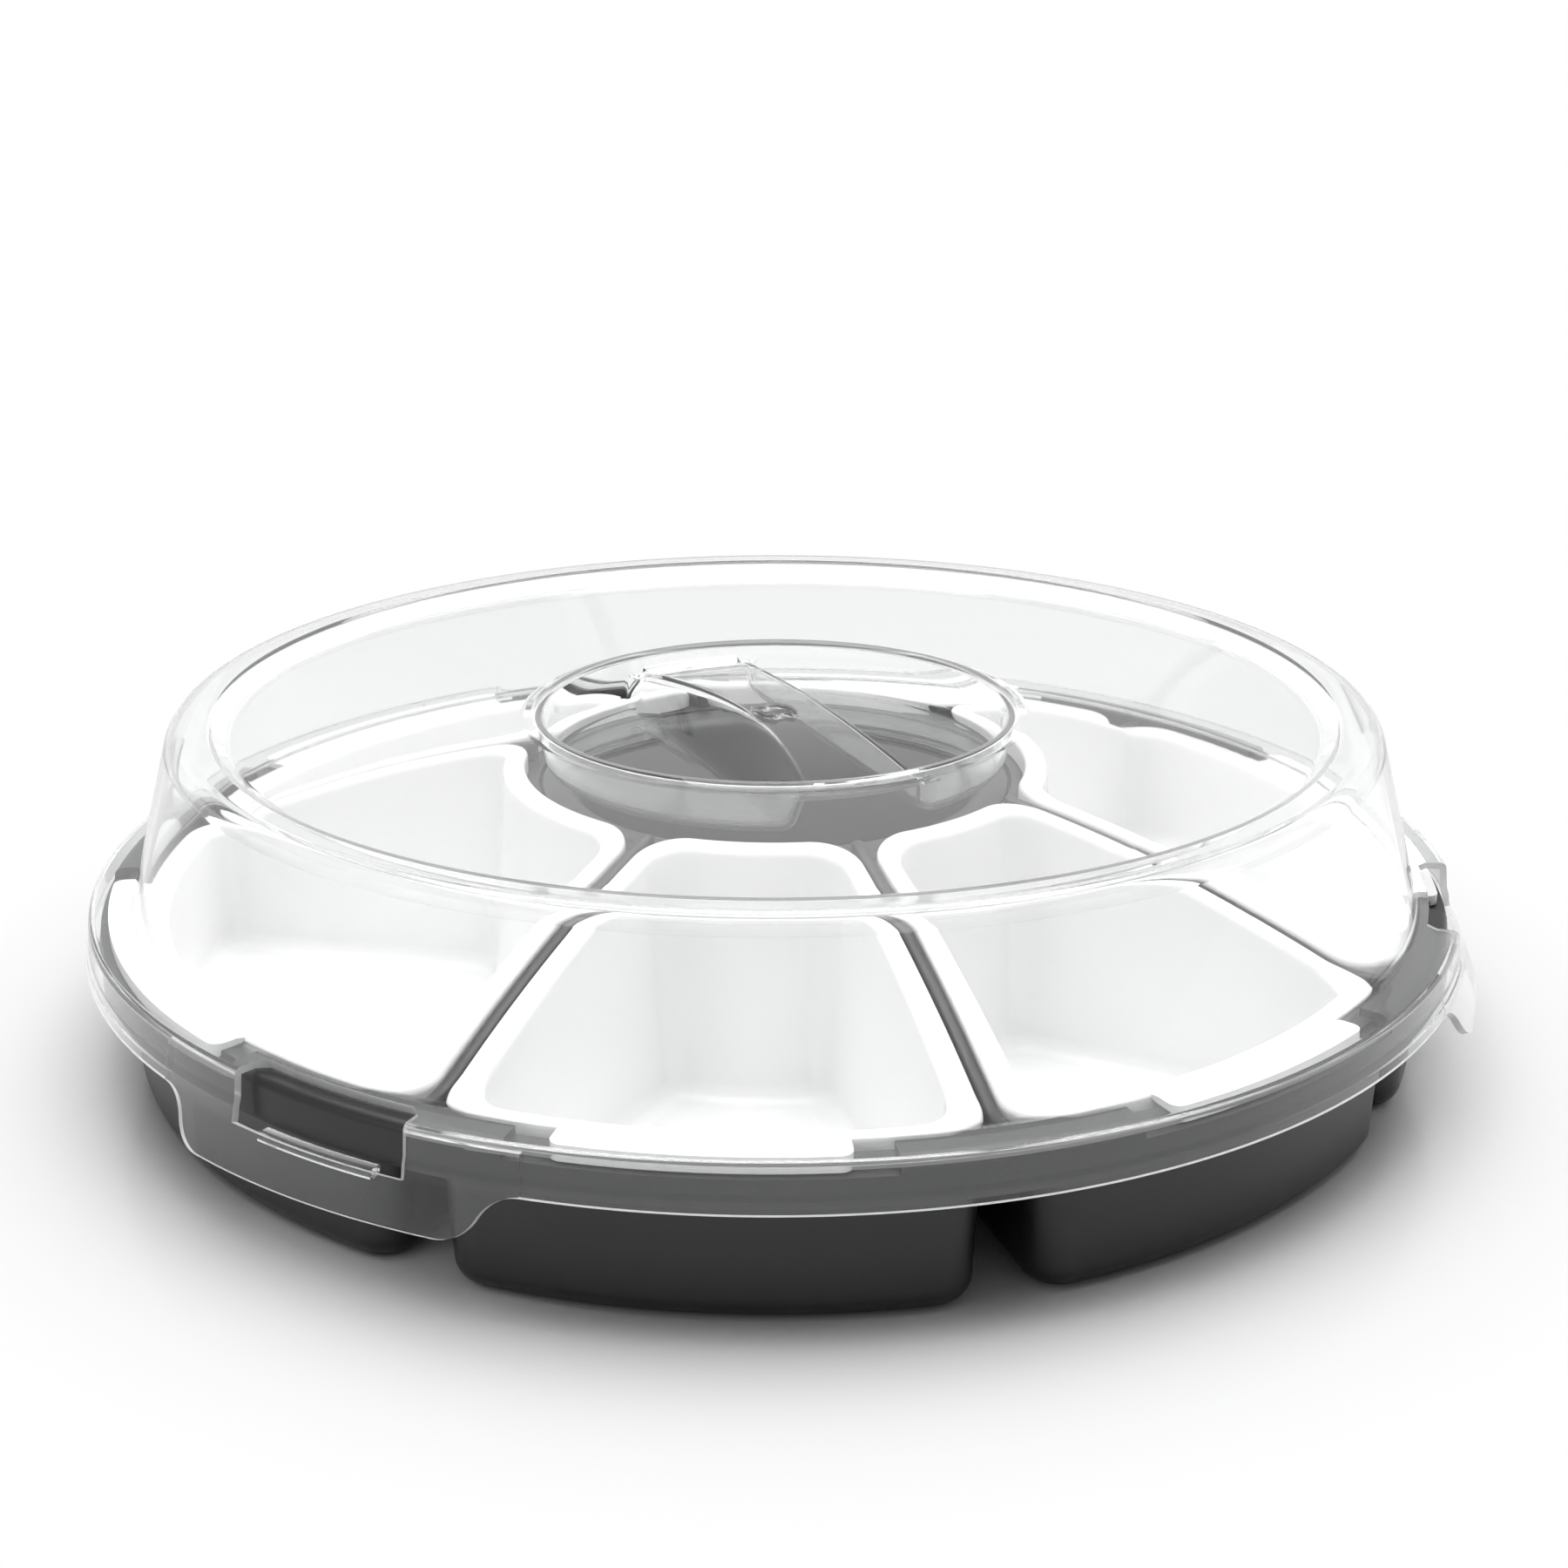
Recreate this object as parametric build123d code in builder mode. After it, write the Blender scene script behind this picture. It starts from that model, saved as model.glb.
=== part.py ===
from build123d import *
import os
from math import asin, cos, degrees, radians, sin, sqrt, tan

# Round snack tray: a charcoal base with six wells and a centre bowl, six white lift-out
# compartment trays, and a clear domed lid that snaps over the rim with three pull tabs.
# Millimetres, +Z up, origin on the table under the middle, front towards -Y.
# An azimuth is measured about Z from the front, positive towards +X.

# Compartments seen from above: first divider, second divider, half angle of the finger tab
compartments = {
    "small_tray_right": (0.0, 45.0, 10.6),
    "large_tray_right": (45.0, 120.0, 19.0),
    "back_tray_right": (120.0, 180.0, 15.0),
    "back_tray_left": (180.0, 240.0, 15.0),
    "large_tray_left": (240.0, 315.0, 19.0),
    "small_tray_left": (315.0, 360.0, 10.6),
}

# Heights above the table
stand_height = 41.5
tray_floor_height = 5.4
ring_top_height = 64.6

# Base
base_wall = 1.8
base_draft = 2.5
rim_radius = 177.0
rim_drop = 9.7
rim_flare = 0.8
rim_rounding = 2.5
rim_thickness = 4.4
well_foot_radius = 169.9
well_inner_foot_radius = 71.6
well_foot_side = 5.9
well_foot_corner = 9.0
well_rounding = 6.0
deck_drop = 6.5
rim_gap = 0.9
recess_margin_angle = 3.0

# The base is one moulding, handed in as seven nodes: its centre and its six wells
base_cut_radius = 66.8

# Domed surface that the lips of the trays lie in
dome_radius = 361.0
dome_edge_radius = 156.0
dome_edge_blend = 22.0

# Compartment trays
tray_wall = 1.6
tray_draft = 4.0
lip_side = 2.0
lip_outer_radius = 167.6
lip_inner_radius = 66.5
lip_corner = 13.0
lip_rounding = 1.8
lip_skirt = 6.2
cup_gap = 0.5
cup_front_lip = 7.4
cup_corner = 8.0
cup_rounding = 7.0
cup_mouth_rounding = 2.2
tab_radius = 175.4
tab_edge_drop = 2.7
tab_edge_wall = 2.0
tab_corner = 3.0

# Dip bowl
bowl_ring_radius = 62.4
bowl_ring_wall = 2.0
bowl_foot_radius = 42.0
bowl_draft = 12.0
bowl_wall = 1.8
bowl_rounding = 7.0
bowl_gap = 0.8
centre_well_lift = 1.0

# Lid
lid_turn = 5.7
lid_wall = 1.8
flange_radius = 180.2
dome_foot_radius = 169.3
lid_height = 88.6
shoulder_radius = 157.2
crest_inner_radius = 146.5
plate_radius = 142.2
plate_height = 84.6
skirt_drop = 11.4
skirt_step_drop = 7.0
skirt_lip_drop = 9.0
skirt_step = 0.7
skirt_flare = 1.7
shoulder_rounding = 6.0
crest_rounding = 2.4
flange_rounding = 1.2

# Grip recess in the lid
recess_radius = 62.0
recess_draft = 9.0
recess_rim_height = 85.8
pocket_floor_height = 71.6
pocket_rounding = 4.5
bar_thumb_side = 15.6
bar_finger_foot = 19.8
bar_finger_end = 17.0
bar_waist = 6.5
bar_end_height = 80.2
bar_crown_height = 83.6
bar_draft = 4.0

# Snap tabs: azimuths about the lid's own middle line
latches = {"latch_tab_left": -56.5, "latch_tab_right": 56.5, "latch_tab_back": 180.0}
window_half_angle = 7.8
window_inner_radius = 172.2
window_sill_drop = 12.2
latch_half_angle = 16.5
latch_foot_half_width = 34.0
latch_drop = 22.0
latch_kick = 4.2
snap_bar_half_width = 16.5
snap_bar_height = 2.5

# Clearances: seat_gap where pieces rest, snap_gap between a snap bar and the base's rim
seat_gap = 0.3
snap_gap = 0.3

# Levels and radii worked out from the sizes above
flange_height = stand_height + seat_gap + lid_wall
seam_height = flange_height - lid_wall
skirt_radius = flange_radius + skirt_flare
rim_foot_radius = rim_radius + rim_flare
dome_centre = stand_height - sqrt(dome_radius**2 - dome_edge_radius**2)
hub_height = dome_centre + sqrt(dome_radius**2 - lip_inner_radius**2)
rim_inner_radius = lip_outer_radius + rim_gap
recess_floor_height = stand_height - tray_wall - seat_gap
edge_floor_height = stand_height - tab_edge_drop - seat_gap
edge_inner_radius = tab_radius - tab_edge_wall - seat_gap
ring_seat_height = ring_top_height - bowl_ring_wall - seat_gap
ring_seat_radius = bowl_ring_radius + bowl_gap
bowl_floor_height = centre_well_lift + base_wall + seat_gap
far = 2 * flange_radius


def grow(height, draft):
    """How far a drafted wall moves outwards over a height."""
    return height * tan(radians(draft))


def turned(height, azimuth):
    """Level sketch plane with its -Y side turned to an azimuth."""
    return Plane.XY.offset(height).rotated((0, 0, azimuth))


def inset_by(outline, amount):
    """Wedge outline (side, inner radius, outer radius, corner) pulled in squarely."""
    side, inner, outer, corner = outline
    return (side + amount, inner + amount, outer - amount, corner - amount)


def wedge(half_angle, side, inner, outer, corner):
    """Ring sector about the front with its sides set back from the two dividers."""
    a = radians(half_angle)

    def corner_point(radius, sign):
        reach = sqrt(radius**2 - side**2)
        return (sign * (reach * sin(a) - side * cos(a)), -(reach * cos(a) + side * sin(a)))

    with BuildSketch() as sector:
        with BuildLine():
            rim = ThreePointArc(corner_point(outer, -1), (0, -outer), corner_point(outer, 1))
            right = Line(rim @ 1, corner_point(inner, 1))
            hub = ThreePointArc(right @ 1, (0, -inner), corner_point(inner, -1))
            Line(hub @ 1, rim @ 0)
        make_face()
        if corner:
            fillet(sector.vertices(), corner)
    return sector.sketch


def drafted_wedge(span, height, outline, draft, rounding):
    """Wedge that stands on a height and widens upwards: a well, a cup or a hollow."""
    first, second = span
    with BuildPart() as body:
        with BuildSketch(turned(height, (first + second) / 2)):
            add(wedge((second - first) / 2, *outline))
        extrude(amount=hub_height + deck_drop - height, taper=-draft)
        fillet(body.edges().group_by(Axis.Z)[0], rounding)
    return body.part


def swept_section(azimuth, half_angle, points):
    """Closed outline of radii and heights, turned about Z to either side of an azimuth."""
    a = radians(azimuth - half_angle)
    radial = Plane((0, 0, 0), x_dir=(sin(a), -cos(a), 0), z_dir=(-cos(a), -sin(a), 0))
    with BuildPart() as body:
        with BuildSketch(radial):
            with BuildLine():
                Polyline(*points, close=True)
            make_face()
        revolve(axis=Axis.Z, revolution_arc=2 * half_angle)
    return body.part


def under_dome(drop):
    """Half section of everything below the dome surface, lowered squarely by a drop."""
    radius = dome_radius - drop
    level = stand_height - drop
    edge = sqrt(radius**2 - (level - dome_centre) ** 2)
    with BuildSketch(Plane.XZ) as section:
        with BuildLine():
            arc = CenterArc((0, dome_centre), radius, 90, -degrees(asin(edge / radius)))
            Polyline(arc @ 1, (far, level), (far, -1), (0, -1), arc @ 0)
        make_face()
        knee = section.vertices().sort_by_distance((edge, level))[0]
        fillet(knee, dome_edge_blend)
    return section.sketch


def block(inner, outer, bottom, top):
    """Rectangle in a half section, from its two radii and its two heights."""
    with BuildSketch(Plane.XZ) as section:
        with BuildLine():
            Polyline((inner, bottom), (outer, bottom), (outer, top), (inner, top), close=True)
        make_face()
    return section.sketch


def rim_section():
    """Half section of the base's rim: inner step, flat top and turned-down edge."""
    top = stand_height
    foot = top - rim_drop
    step_foot = top - deck_drop - base_wall
    with BuildSketch(Plane.XZ) as section:
        with BuildLine():
            Polyline(
                (rim_inner_radius, step_foot),
                (rim_inner_radius, top),
                (rim_radius, top),
                (rim_foot_radius, foot),
                (rim_foot_radius - base_wall, foot),
                (rim_radius - base_wall, top - rim_thickness),
                (rim_inner_radius + base_wall, top - rim_thickness),
                (rim_inner_radius + base_wall, step_foot),
                close=True,
            )
        make_face()
        outside = section.vertices().sort_by_distance((rim_radius, top))[0]
        fillet(outside, rim_rounding)
    return section.sketch


def make_base_tray():
    """Six wells and a centre well hung in a domed deck inside a turned-down rim."""
    well = (well_foot_side, well_inner_foot_radius, well_foot_radius, well_foot_corner)
    hollow = inset_by(well, base_wall - grow(base_wall, base_draft))
    centre_radius = bowl_foot_radius + bowl_gap + grow(seat_gap, bowl_draft)
    recess_section = [
        (lip_outer_radius, far),
        (lip_outer_radius, recess_floor_height),
        (edge_inner_radius, recess_floor_height),
        (edge_inner_radius, edge_floor_height),
        (far, edge_floor_height),
        (far, far),
    ]
    wells, hollows, recesses = [], [], []
    for first, second, tab in compartments.values():
        middle = (first + second) / 2
        wells.append(drafted_wedge((first, second), 0, well, base_draft, well_rounding))
        hollows.append(drafted_wedge((first, second), base_wall, hollow, base_draft,
                                     well_rounding - base_wall))
        recesses.append(swept_section(middle, tab + recess_margin_angle, recess_section))
    with BuildPart() as base_tray:
        add(wells)
        with BuildSketch(Plane.XY.offset(centre_well_lift)):
            Circle(centre_radius + base_wall - grow(base_wall, bowl_draft))
        extrude(amount=hub_height, taper=-bowl_draft)
        with BuildSketch(Plane.XZ):
            add(under_dome(deck_drop))
            add(block(rim_inner_radius, far, -1, stand_height))
        revolve(axis=Axis.Z, mode=Mode.INTERSECT)
        with BuildSketch(Plane.XZ):
            add(under_dome(deck_drop))
            add(under_dome(deck_drop + base_wall), mode=Mode.SUBTRACT)
            add(block(rim_inner_radius + base_wall, far, -1, far), mode=Mode.SUBTRACT)
        revolve(axis=Axis.Z)
        with BuildSketch(Plane.XZ):
            add(block(0, ring_seat_radius + base_wall, ring_seat_height - base_wall, far))
            add(under_dome(deck_drop), mode=Mode.INTERSECT)
        revolve(axis=Axis.Z)
        revolve(rim_section(), axis=Axis.Z)
        for cutter in hollows + recesses:
            add(cutter, mode=Mode.SUBTRACT)
        with BuildSketch(Plane.XY.offset(centre_well_lift + base_wall)):
            Circle(centre_radius)
        extrude(amount=hub_height, taper=-bowl_draft, mode=Mode.SUBTRACT)
        with BuildSketch(Plane.XY.offset(ring_seat_height)):
            Circle(ring_seat_radius)
        extrude(amount=hub_height, mode=Mode.SUBTRACT)
    return base_tray.part


def cut_base(base):
    """Base parted through its deck and rim alone: the centre well, then the six wells."""
    with BuildPart() as centre:
        add(base)
        Cylinder(base_cut_radius, 2 * far, mode=Mode.INTERSECT)
    cut = {"base_centre": centre.part}
    for name, (first, second, tab) in compartments.items():
        with BuildPart() as well:
            add(base)
            with BuildSketch(turned(0, (first + second) / 2)):
                add(wedge((second - first) / 2, 0, base_cut_radius, far, 0))
            extrude(amount=far, mode=Mode.INTERSECT)
        cut[f"base_{name.replace('tray', 'well')}"] = well.part
    return cut


def make_tray(span, tab_half_angle):
    """Compartment: a cup under a domed lip, with a finger tab that lies on the rim."""
    first, second = span
    middle = (first + second) / 2
    half_angle = (second - first) / 2
    lip = (lip_side, lip_inner_radius, lip_outer_radius, lip_corner)
    cup_foot = base_wall + cup_gap + grow(hub_height - tray_floor_height, tray_draft)
    cup_foot -= grow(hub_height, base_draft)
    cup_rise = grow(stand_height - tray_floor_height, tray_draft)
    cup = (
        well_foot_side + cup_foot,
        well_inner_foot_radius + cup_foot,
        lip_outer_radius - cup_front_lip + tray_wall - cup_rise,
        cup_corner,
    )
    with BuildPart() as underside:
        with BuildSketch(turned(0, middle)):
            add(wedge(half_angle, *inset_by(lip, tray_wall)))
        extrude(amount=far)
        revolve(under_dome(tray_wall), axis=Axis.Z, mode=Mode.INTERSECT)
    with BuildPart() as cup_body:
        add(drafted_wedge(span, tray_floor_height, cup, tray_draft, cup_rounding))
        revolve(under_dome(tray_wall / 2), axis=Axis.Z, mode=Mode.INTERSECT)
    with BuildPart() as tray:
        with BuildSketch(turned(0, middle)):
            add(wedge(half_angle, *lip))
        extrude(amount=far)
        revolve(under_dome(0), axis=Axis.Z, mode=Mode.INTERSECT)
        walls = tray.faces().filter_by(lambda face: abs(face.normal_at().Z) < 0.01)
        crown = tray.edges().filter_by(
            lambda edge: edge.center().Z > stand_height - 0.5
            and abs(edge.tangent_at(0.5).Z) < 0.9
            and any(edge.distance_to(wall) < 0.001 for wall in walls)
        )
        fillet(crown, lip_rounding)
        revolve(under_dome(lip_skirt), axis=Axis.Z, mode=Mode.SUBTRACT)
        add(underside.part, mode=Mode.SUBTRACT)
        add(cup_body.part)
        with BuildSketch(turned(stand_height - tray_wall, middle)):
            add(wedge(tab_half_angle, 0, lip_outer_radius - 3 * lip_rounding, tab_radius,
                      tab_corner))
        extrude(amount=tray_wall)
        with BuildSketch(turned(stand_height - tab_edge_drop, middle)):
            add(wedge(tab_half_angle, 0, lip_outer_radius, tab_radius, tab_corner))
            Circle(tab_radius - tab_edge_wall, mode=Mode.SUBTRACT)
        extrude(amount=tab_edge_drop)
        mouth = drafted_wedge(span, tray_floor_height + tray_wall,
                              inset_by(cup, tray_wall - grow(tray_wall, tray_draft)),
                              tray_draft, cup_rounding - tray_wall)
        add(mouth, mode=Mode.SUBTRACT)
        brim = tray.edges(Select.NEW).filter_by(
            lambda edge: edge.center().Z > stand_height - 0.5
            and abs(edge.tangent_at(0.5).Z) < 0.9
        )
        fillet(brim, cup_mouth_rounding)
    return tray.part


def make_dip_bowl():
    """Drafted bowl that hangs by a flat ring in the seat round the centre well."""
    with BuildPart() as dip_bowl:
        with BuildSketch(Plane.XY.offset(bowl_floor_height)):
            Circle(bowl_foot_radius)
        extrude(amount=ring_top_height - bowl_floor_height, taper=-bowl_draft)
        fillet(dip_bowl.edges().group_by(Axis.Z)[0], bowl_rounding)
        with BuildSketch(Plane.XY.offset(ring_top_height - bowl_ring_wall)):
            Circle(bowl_ring_radius)
        extrude(amount=bowl_ring_wall)
        with BuildSketch(Plane.XY.offset(bowl_floor_height + bowl_wall)):
            Circle(bowl_foot_radius - bowl_wall + grow(bowl_wall, bowl_draft))
        extrude(amount=far, taper=-bowl_draft, mode=Mode.SUBTRACT)
        hollow = dip_bowl.edges(Select.NEW)
        fillet(hollow.sort_by(Axis.Z)[0], bowl_rounding - bowl_wall)
        rim = dip_bowl.edges().group_by(Axis.Z)[-1]
        fillet(rim, bowl_ring_wall / 3)
    return dip_bowl.part


def lid_section():
    """Half section of the lid's sheet, from the flat top out to the foot of the skirt."""
    skirt_foot = flange_height - skirt_drop
    with BuildSketch(Plane.XZ) as section:
        with BuildLine():
            Polyline(
                (-recess_radius, plate_height),
                (plate_radius, plate_height),
                (crest_inner_radius, lid_height),
                (shoulder_radius, lid_height),
                (dome_foot_radius, flange_height),
                (flange_radius, flange_height),
                (flange_radius + skirt_step, flange_height - skirt_step_drop),
                (skirt_radius - skirt_step / 2, flange_height - skirt_lip_drop),
                (skirt_radius, skirt_foot),
                (skirt_radius, -far),
                (-recess_radius, -far),
                close=True,
            )
        make_face()
        for corner, radius in (
            ((shoulder_radius, lid_height), shoulder_rounding),
            ((crest_inner_radius, lid_height), crest_rounding),
            ((plate_radius, plate_height), crest_rounding),
            ((dome_foot_radius, flange_height), flange_rounding),
            ((flange_radius, flange_height), flange_rounding),
        ):
            fillet(section.vertices().sort_by_distance(corner)[0], radius)
        offset(amount=-lid_wall, kind=Kind.INTERSECTION, mode=Mode.SUBTRACT)
        with BuildLine():
            Polyline((0, skirt_foot), (far, skirt_foot), (far, far), (0, far), close=True)
        make_face(mode=Mode.INTERSECT)
    return section.sketch


def recess_section(inset):
    """Half section of the grip recess, its wall drafted, grown by an inset of the sheet."""
    foot = pocket_floor_height - inset
    depth = recess_rim_height - foot
    with BuildSketch(Plane.XZ) as section:
        with BuildLine():
            Polyline(
                (0, foot),
                (recess_radius + inset - grow(depth, recess_draft), foot),
                (recess_radius + inset, recess_rim_height),
                (0, recess_rim_height),
                close=True,
            )
        make_face()
        corner = (recess_radius + inset - grow(depth, recess_draft), foot)
        fillet(section.vertices().sort_by_distance(corner)[0], pocket_rounding + inset)
    return section.sketch


def bar_outline(height, waist, end, thumb):
    """Level outline of the grip bar: a straight thumb side and a hollowed finger side."""
    with BuildSketch(Plane.XY.offset(height)) as outline:
        with BuildLine():
            side = ThreePointArc((-end, -recess_radius), (-waist, 0), (-end, recess_radius))
            Polyline(side @ 1, (thumb, recess_radius), (thumb, -recess_radius), side @ 0)
        make_face()
    return outline.sketch


def bar_body(inset, foot):
    """Grip bar as a solid under its crowned top, drawn in by an inset of the sheet."""
    scoop_inset = inset * sqrt(2)
    spread = grow(recess_rim_height - foot, bar_draft)
    with BuildPart() as bar:
        add(bar_outline(foot, bar_finger_foot - inset, bar_finger_foot - inset + 0.01,
                        bar_thumb_side - inset + spread))
        add(bar_outline(recess_rim_height, bar_waist - scoop_inset, bar_finger_end - inset,
                        bar_thumb_side - inset))
        loft(ruled=True)
        with BuildSketch(Plane.YZ):
            with BuildLine():
                crown = ThreePointArc(
                    (-recess_radius, bar_end_height - inset),
                    (0, bar_crown_height - inset),
                    (recess_radius, bar_end_height - inset),
                )
                Polyline(crown @ 1, (recess_radius, 0), (-recess_radius, 0), crown @ 0)
            make_face()
        extrude(amount=recess_radius, both=True, mode=Mode.INTERSECT)
    return bar.part


def make_lid_shell():
    """Clear dome with a raised shoulder, a grip recess and three windows in its edge."""
    with BuildPart() as pockets:
        revolve(recess_section(0), axis=Axis.Z)
        add(bar_body(0, pocket_floor_height - lid_wall), mode=Mode.SUBTRACT)
    with BuildPart() as lid_shell:
        revolve(lid_section(), axis=Axis.Z)
        revolve(recess_section(lid_wall), axis=Axis.Z)
        add(pockets.part, mode=Mode.SUBTRACT)
        add(bar_body(lid_wall, pocket_floor_height - 2 * lid_wall), mode=Mode.SUBTRACT)
        for azimuth in latches.values():
            with BuildSketch(turned(seam_height, azimuth)):
                add(wedge(window_half_angle, 0, window_inner_radius, far, 0))
            extrude(amount=2 * lid_wall, mode=Mode.SUBTRACT)
            skirt_gap = [
                (rim_foot_radius, seam_height),
                (far, seam_height),
                (far, 0),
                (rim_foot_radius, 0),
            ]
            add(swept_section(azimuth, latch_half_angle, skirt_gap), mode=Mode.SUBTRACT)
    return lid_shell.part


def latch_section():
    """Radii and heights of the skirt and its pull tab, outside face then inside face."""
    top_radius = flange_radius + skirt_step * lid_wall / skirt_step_drop
    outside = [
        (top_radius, seam_height),
        (flange_radius + skirt_step, flange_height - skirt_step_drop),
        (skirt_radius - skirt_step / 2, flange_height - skirt_lip_drop),
        (skirt_radius, flange_height - skirt_drop),
        (skirt_radius + latch_kick, flange_height - latch_drop),
    ]
    inside = [(radius - lid_wall, height) for radius, height in reversed(outside)]
    return outside + inside


def make_latch_tab(azimuth):
    """Piece of skirt that bends: posts beside the window, snap bar and flared pull tab."""
    a = radians(azimuth)
    facing = Plane((0, 0, 0), x_dir=(cos(a), sin(a), 0), z_dir=(sin(a), -cos(a), 0))
    skirt_foot = flange_height - skirt_drop
    tab_foot = flange_height - latch_drop
    sill = flange_height - window_sill_drop
    half_width = skirt_radius * sin(radians(latch_half_angle))
    turn = ((half_width + latch_foot_half_width) / 2, (skirt_foot + tab_foot) / 2)
    window_half_width = skirt_radius * sin(radians(window_half_angle))
    snap_bar = [
        (rim_foot_radius + snap_gap, sill),
        (skirt_radius - lid_wall / 2, sill),
        (skirt_radius - lid_wall / 2, sill - snap_bar_height),
        (rim_foot_radius + snap_gap + lid_wall / 2, sill - snap_bar_height),
    ]
    with BuildPart() as latch_tab:
        add(swept_section(azimuth, latch_half_angle, latch_section()))
        with BuildSketch(facing):
            with BuildLine():
                foot = Line((0, tab_foot), (latch_foot_half_width, tab_foot))
                lower = TangentArc(foot @ 1, turn, tangent=foot % 1)
                upper = TangentArc(lower @ 1, (half_width, skirt_foot), tangent=lower % 1)
                Polyline(upper @ 1, (2 * half_width, skirt_foot), (2 * half_width, far),
                         (0, far), foot @ 0)
            make_face()
            mirror(about=Plane.YZ)
            with Locations((0, sill)):
                Rectangle(2 * window_half_width, far, align=(Align.CENTER, Align.MIN),
                          mode=Mode.SUBTRACT)
        extrude(amount=far, mode=Mode.INTERSECT)
        add(swept_section(azimuth, degrees(asin(snap_bar_half_width / skirt_radius)), snap_bar))
    return latch_tab.part


os.makedirs("parts", exist_ok=True)
pieces = cut_base(make_base_tray())
pieces["dip_bowl"] = make_dip_bowl()
for name, (first, second, tab) in compartments.items():
    pieces[name] = make_tray((first, second), tab)
pieces["lid_shell"] = make_lid_shell().rotate(Axis.Z, lid_turn)
for name, azimuth in latches.items():
    pieces[name] = make_latch_tab(azimuth + lid_turn)
for name, piece in pieces.items():
    piece.label = name
    export_step(piece, f"parts/{name}.step")
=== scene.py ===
import math

import bmesh
import bpy
import numpy as np
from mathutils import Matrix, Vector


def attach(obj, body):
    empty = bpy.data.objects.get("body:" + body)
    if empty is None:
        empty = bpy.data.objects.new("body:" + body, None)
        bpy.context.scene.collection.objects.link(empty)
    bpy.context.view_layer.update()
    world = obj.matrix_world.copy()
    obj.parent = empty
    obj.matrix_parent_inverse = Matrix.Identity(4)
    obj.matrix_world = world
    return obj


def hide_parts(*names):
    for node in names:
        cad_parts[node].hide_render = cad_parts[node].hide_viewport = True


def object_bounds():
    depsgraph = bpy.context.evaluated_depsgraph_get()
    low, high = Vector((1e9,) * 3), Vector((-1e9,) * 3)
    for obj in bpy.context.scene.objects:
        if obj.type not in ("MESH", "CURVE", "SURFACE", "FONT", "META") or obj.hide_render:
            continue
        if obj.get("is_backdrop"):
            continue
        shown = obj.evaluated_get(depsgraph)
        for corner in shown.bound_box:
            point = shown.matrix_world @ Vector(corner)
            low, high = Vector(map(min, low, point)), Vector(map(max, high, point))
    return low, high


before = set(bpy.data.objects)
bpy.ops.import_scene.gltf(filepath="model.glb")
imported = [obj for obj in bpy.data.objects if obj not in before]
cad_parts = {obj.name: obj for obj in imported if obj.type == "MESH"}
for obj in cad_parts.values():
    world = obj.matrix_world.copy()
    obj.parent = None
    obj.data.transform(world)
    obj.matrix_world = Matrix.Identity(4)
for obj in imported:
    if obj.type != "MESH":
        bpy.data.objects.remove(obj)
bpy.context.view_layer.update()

# Photographer's set: a white table top that runs on into a white surround, a large soft lamp
# overhead and a weaker one to each side. The table is a smooth white sheet. It keeps the
# object's soft shadow, and further out it is burnt out to plain white.
scene = bpy.context.scene
scene.view_settings.view_transform = "Standard"
lens = bpy.data.cameras.new("photo_camera")
lens.lens = 57.63
lens.sensor_width = 36.0
camera = bpy.data.objects.new("photo_camera", lens)
camera.location = (-0.18936, -0.60883, 0.2825)
camera.rotation_euler = (math.radians(71.02), 0.0, math.radians(-17.49))
scene.collection.objects.link(camera)
scene.camera = camera


def new_material(name):
    """An empty node material, its node tree and its output node."""
    material = bpy.data.materials.new(name)
    material.use_nodes = True
    material.node_tree.nodes.clear()
    out = material.node_tree.nodes.new("ShaderNodeOutputMaterial")
    return material, material.node_tree, out


def larger(tree, first, second):
    """The larger of two values, so 1 where either of two ray flags is 1."""
    node = tree.nodes.new("ShaderNodeMath")
    node.operation = "MAXIMUM"
    tree.links.new(first, node.inputs[0])
    tree.links.new(second, node.inputs[1])
    return node.outputs[0]


def mixed(tree, share, first, second):
    """The first shader times one minus the share, plus the second times the share."""
    node = tree.nodes.new("ShaderNodeMixShader")
    tree.links.new(share, node.inputs[0])
    tree.links.new(first, node.inputs[1])
    tree.links.new(second, node.inputs[2])
    return node.outputs[0]


# Surround: its light on the object, its strength in gloss, and the white that is seen
world = bpy.data.worlds.new("white_surround")
world.use_nodes = True
tree = world.node_tree
tree.nodes.clear()
surrounds = []
for strength in (0.16, 0.62, 1.0):
    background = tree.nodes.new("ShaderNodeBackground")
    background.inputs["Color"].default_value = (1, 1, 1, 1)
    background.inputs["Strength"].default_value = strength
    surrounds.append(background.outputs[0])
lighting, in_gloss, shown_white = surrounds
ray = tree.nodes.new("ShaderNodeLightPath")
behind = larger(tree, ray.outputs["Is Camera Ray"], ray.outputs["Is Transmission Ray"])
unseen = mixed(tree, ray.outputs["Is Glossy Ray"], lighting, in_gloss)
surface = mixed(tree, behind, unseen, shown_white)
tree.links.new(surface, tree.nodes.new("ShaderNodeOutputWorld").inputs["Surface"])
scene.world = world

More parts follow.
